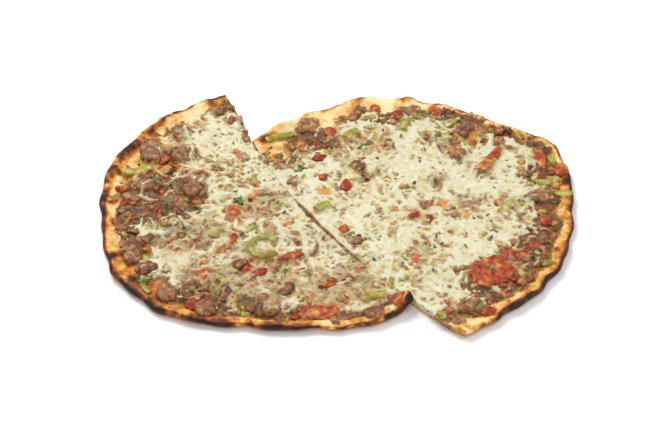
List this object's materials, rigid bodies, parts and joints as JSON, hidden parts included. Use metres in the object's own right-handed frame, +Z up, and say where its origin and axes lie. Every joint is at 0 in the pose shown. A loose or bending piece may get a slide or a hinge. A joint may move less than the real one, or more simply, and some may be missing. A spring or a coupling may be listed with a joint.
{
  "type": "lahmacun",
  "caption": "Thin oval flatbread with a curled browned rim, minced filling, melted grated cheese, meat, tomato and green pepper, cut across the middle into halves that lie slid along the cut.",
  "frame": {"origin": "middle of the box around both halves, on the surface that the flatbread lies on", "axes": "+X across the cut from the left half to the right half, +Y along the cut towards the back, +Z up"},
  "size_m": [0.304, 0.28, 0.0114],
  "materials": {
    "crust": "baked thin dough, cream to golden, brown and charred along the rim",
    "filling": "moist cooked mince with bits of tomato and herbs",
    "cheese": "melted grated cheese, pale cream, slightly translucent",
    "meat": "grilled brown meat with a rough grain",
    "tomato": "wet roasted tomato",
    "pepper": "roasted green pepper, yellowish green"
  },
  "bodies": {
    "root": {"crust_left": "crust", "filling_left": "filling", "cheese_left": "cheese", "crust_right": "crust", "filling_right": "filling", "cheese_right": "cheese", "meat_01": "meat", "meat_02": "meat", "meat_03": "meat", "meat_04": "meat", "meat_05": "meat", "meat_06": "meat", "meat_07": "meat", "meat_08": "meat", "meat_09": "meat", "meat_10": "meat", "meat_11": "meat", "meat_12": "meat", "meat_13": "meat", "meat_14": "meat", "meat_15": "meat", "meat_16": "meat", "meat_17": "meat", "meat_18": "meat", "meat_19": "meat", "meat_20": "meat", "meat_21": "meat", "meat_22": "meat", "meat_23": "meat", "meat_24": "meat", "meat_25": "meat", "tomato_01": "tomato", "tomato_02": "tomato", "tomato_03": "tomato", "tomato_04": "tomato", "tomato_05": "tomato", "tomato_06": "tomato", "tomato_07": "tomato", "tomato_08": "tomato", "tomato_09": "tomato", "tomato_10": "tomato", "tomato_11": "tomato", "tomato_12": "tomato", "tomato_13": "tomato", "tomato_14": "tomato", "tomato_15": "tomato", "tomato_16": "tomato", "tomato_17": "tomato", "tomato_18": "tomato", "pepper_01": "pepper", "pepper_02": "pepper", "pepper_03": "pepper", "pepper_04": "pepper", "pepper_05": "pepper", "pepper_06": "pepper", "pepper_07": "pepper", "pepper_08": "pepper", "pepper_09": "pepper"}
  },
  "joints": []
}
